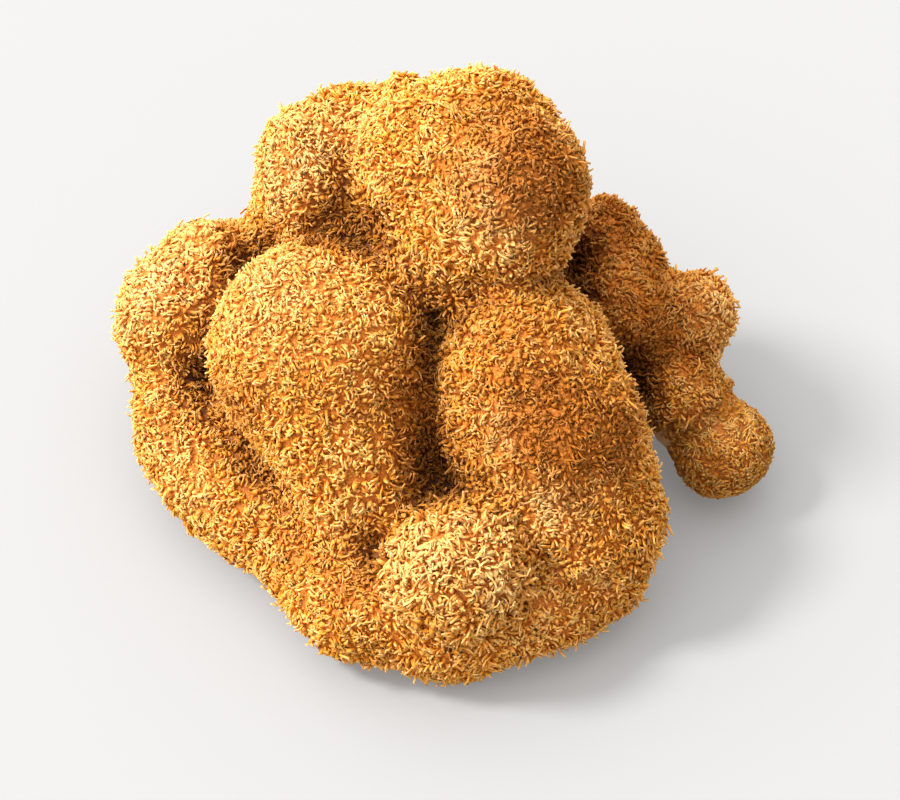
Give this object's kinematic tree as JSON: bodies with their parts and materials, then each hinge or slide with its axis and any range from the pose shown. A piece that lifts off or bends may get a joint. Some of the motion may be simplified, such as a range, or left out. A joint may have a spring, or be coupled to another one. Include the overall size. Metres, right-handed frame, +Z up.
{
  "type": "lions mane mushroom",
  "caption": "Dried golden lion's mane mushroom: rounded lobes run together, covered in short curled spines, resting on a flat cut foot.",
  "frame": {"origin": "middle of the body's bounding box seen from above, on the surface it rests on", "axes": "+Z up, -Y towards the front lobes, +X towards the small round side lobe"},
  "size_m": [0.1112, 0.1073, 0.0712],
  "materials": {
    "dried_spines": "matt, dry and rough",
    "dried_flesh": "matt, dry, where the flesh is bare"
  },
  "bodies": {
    "root": {"fruiting_body": "dried_spines"}
  },
  "joints": []
}
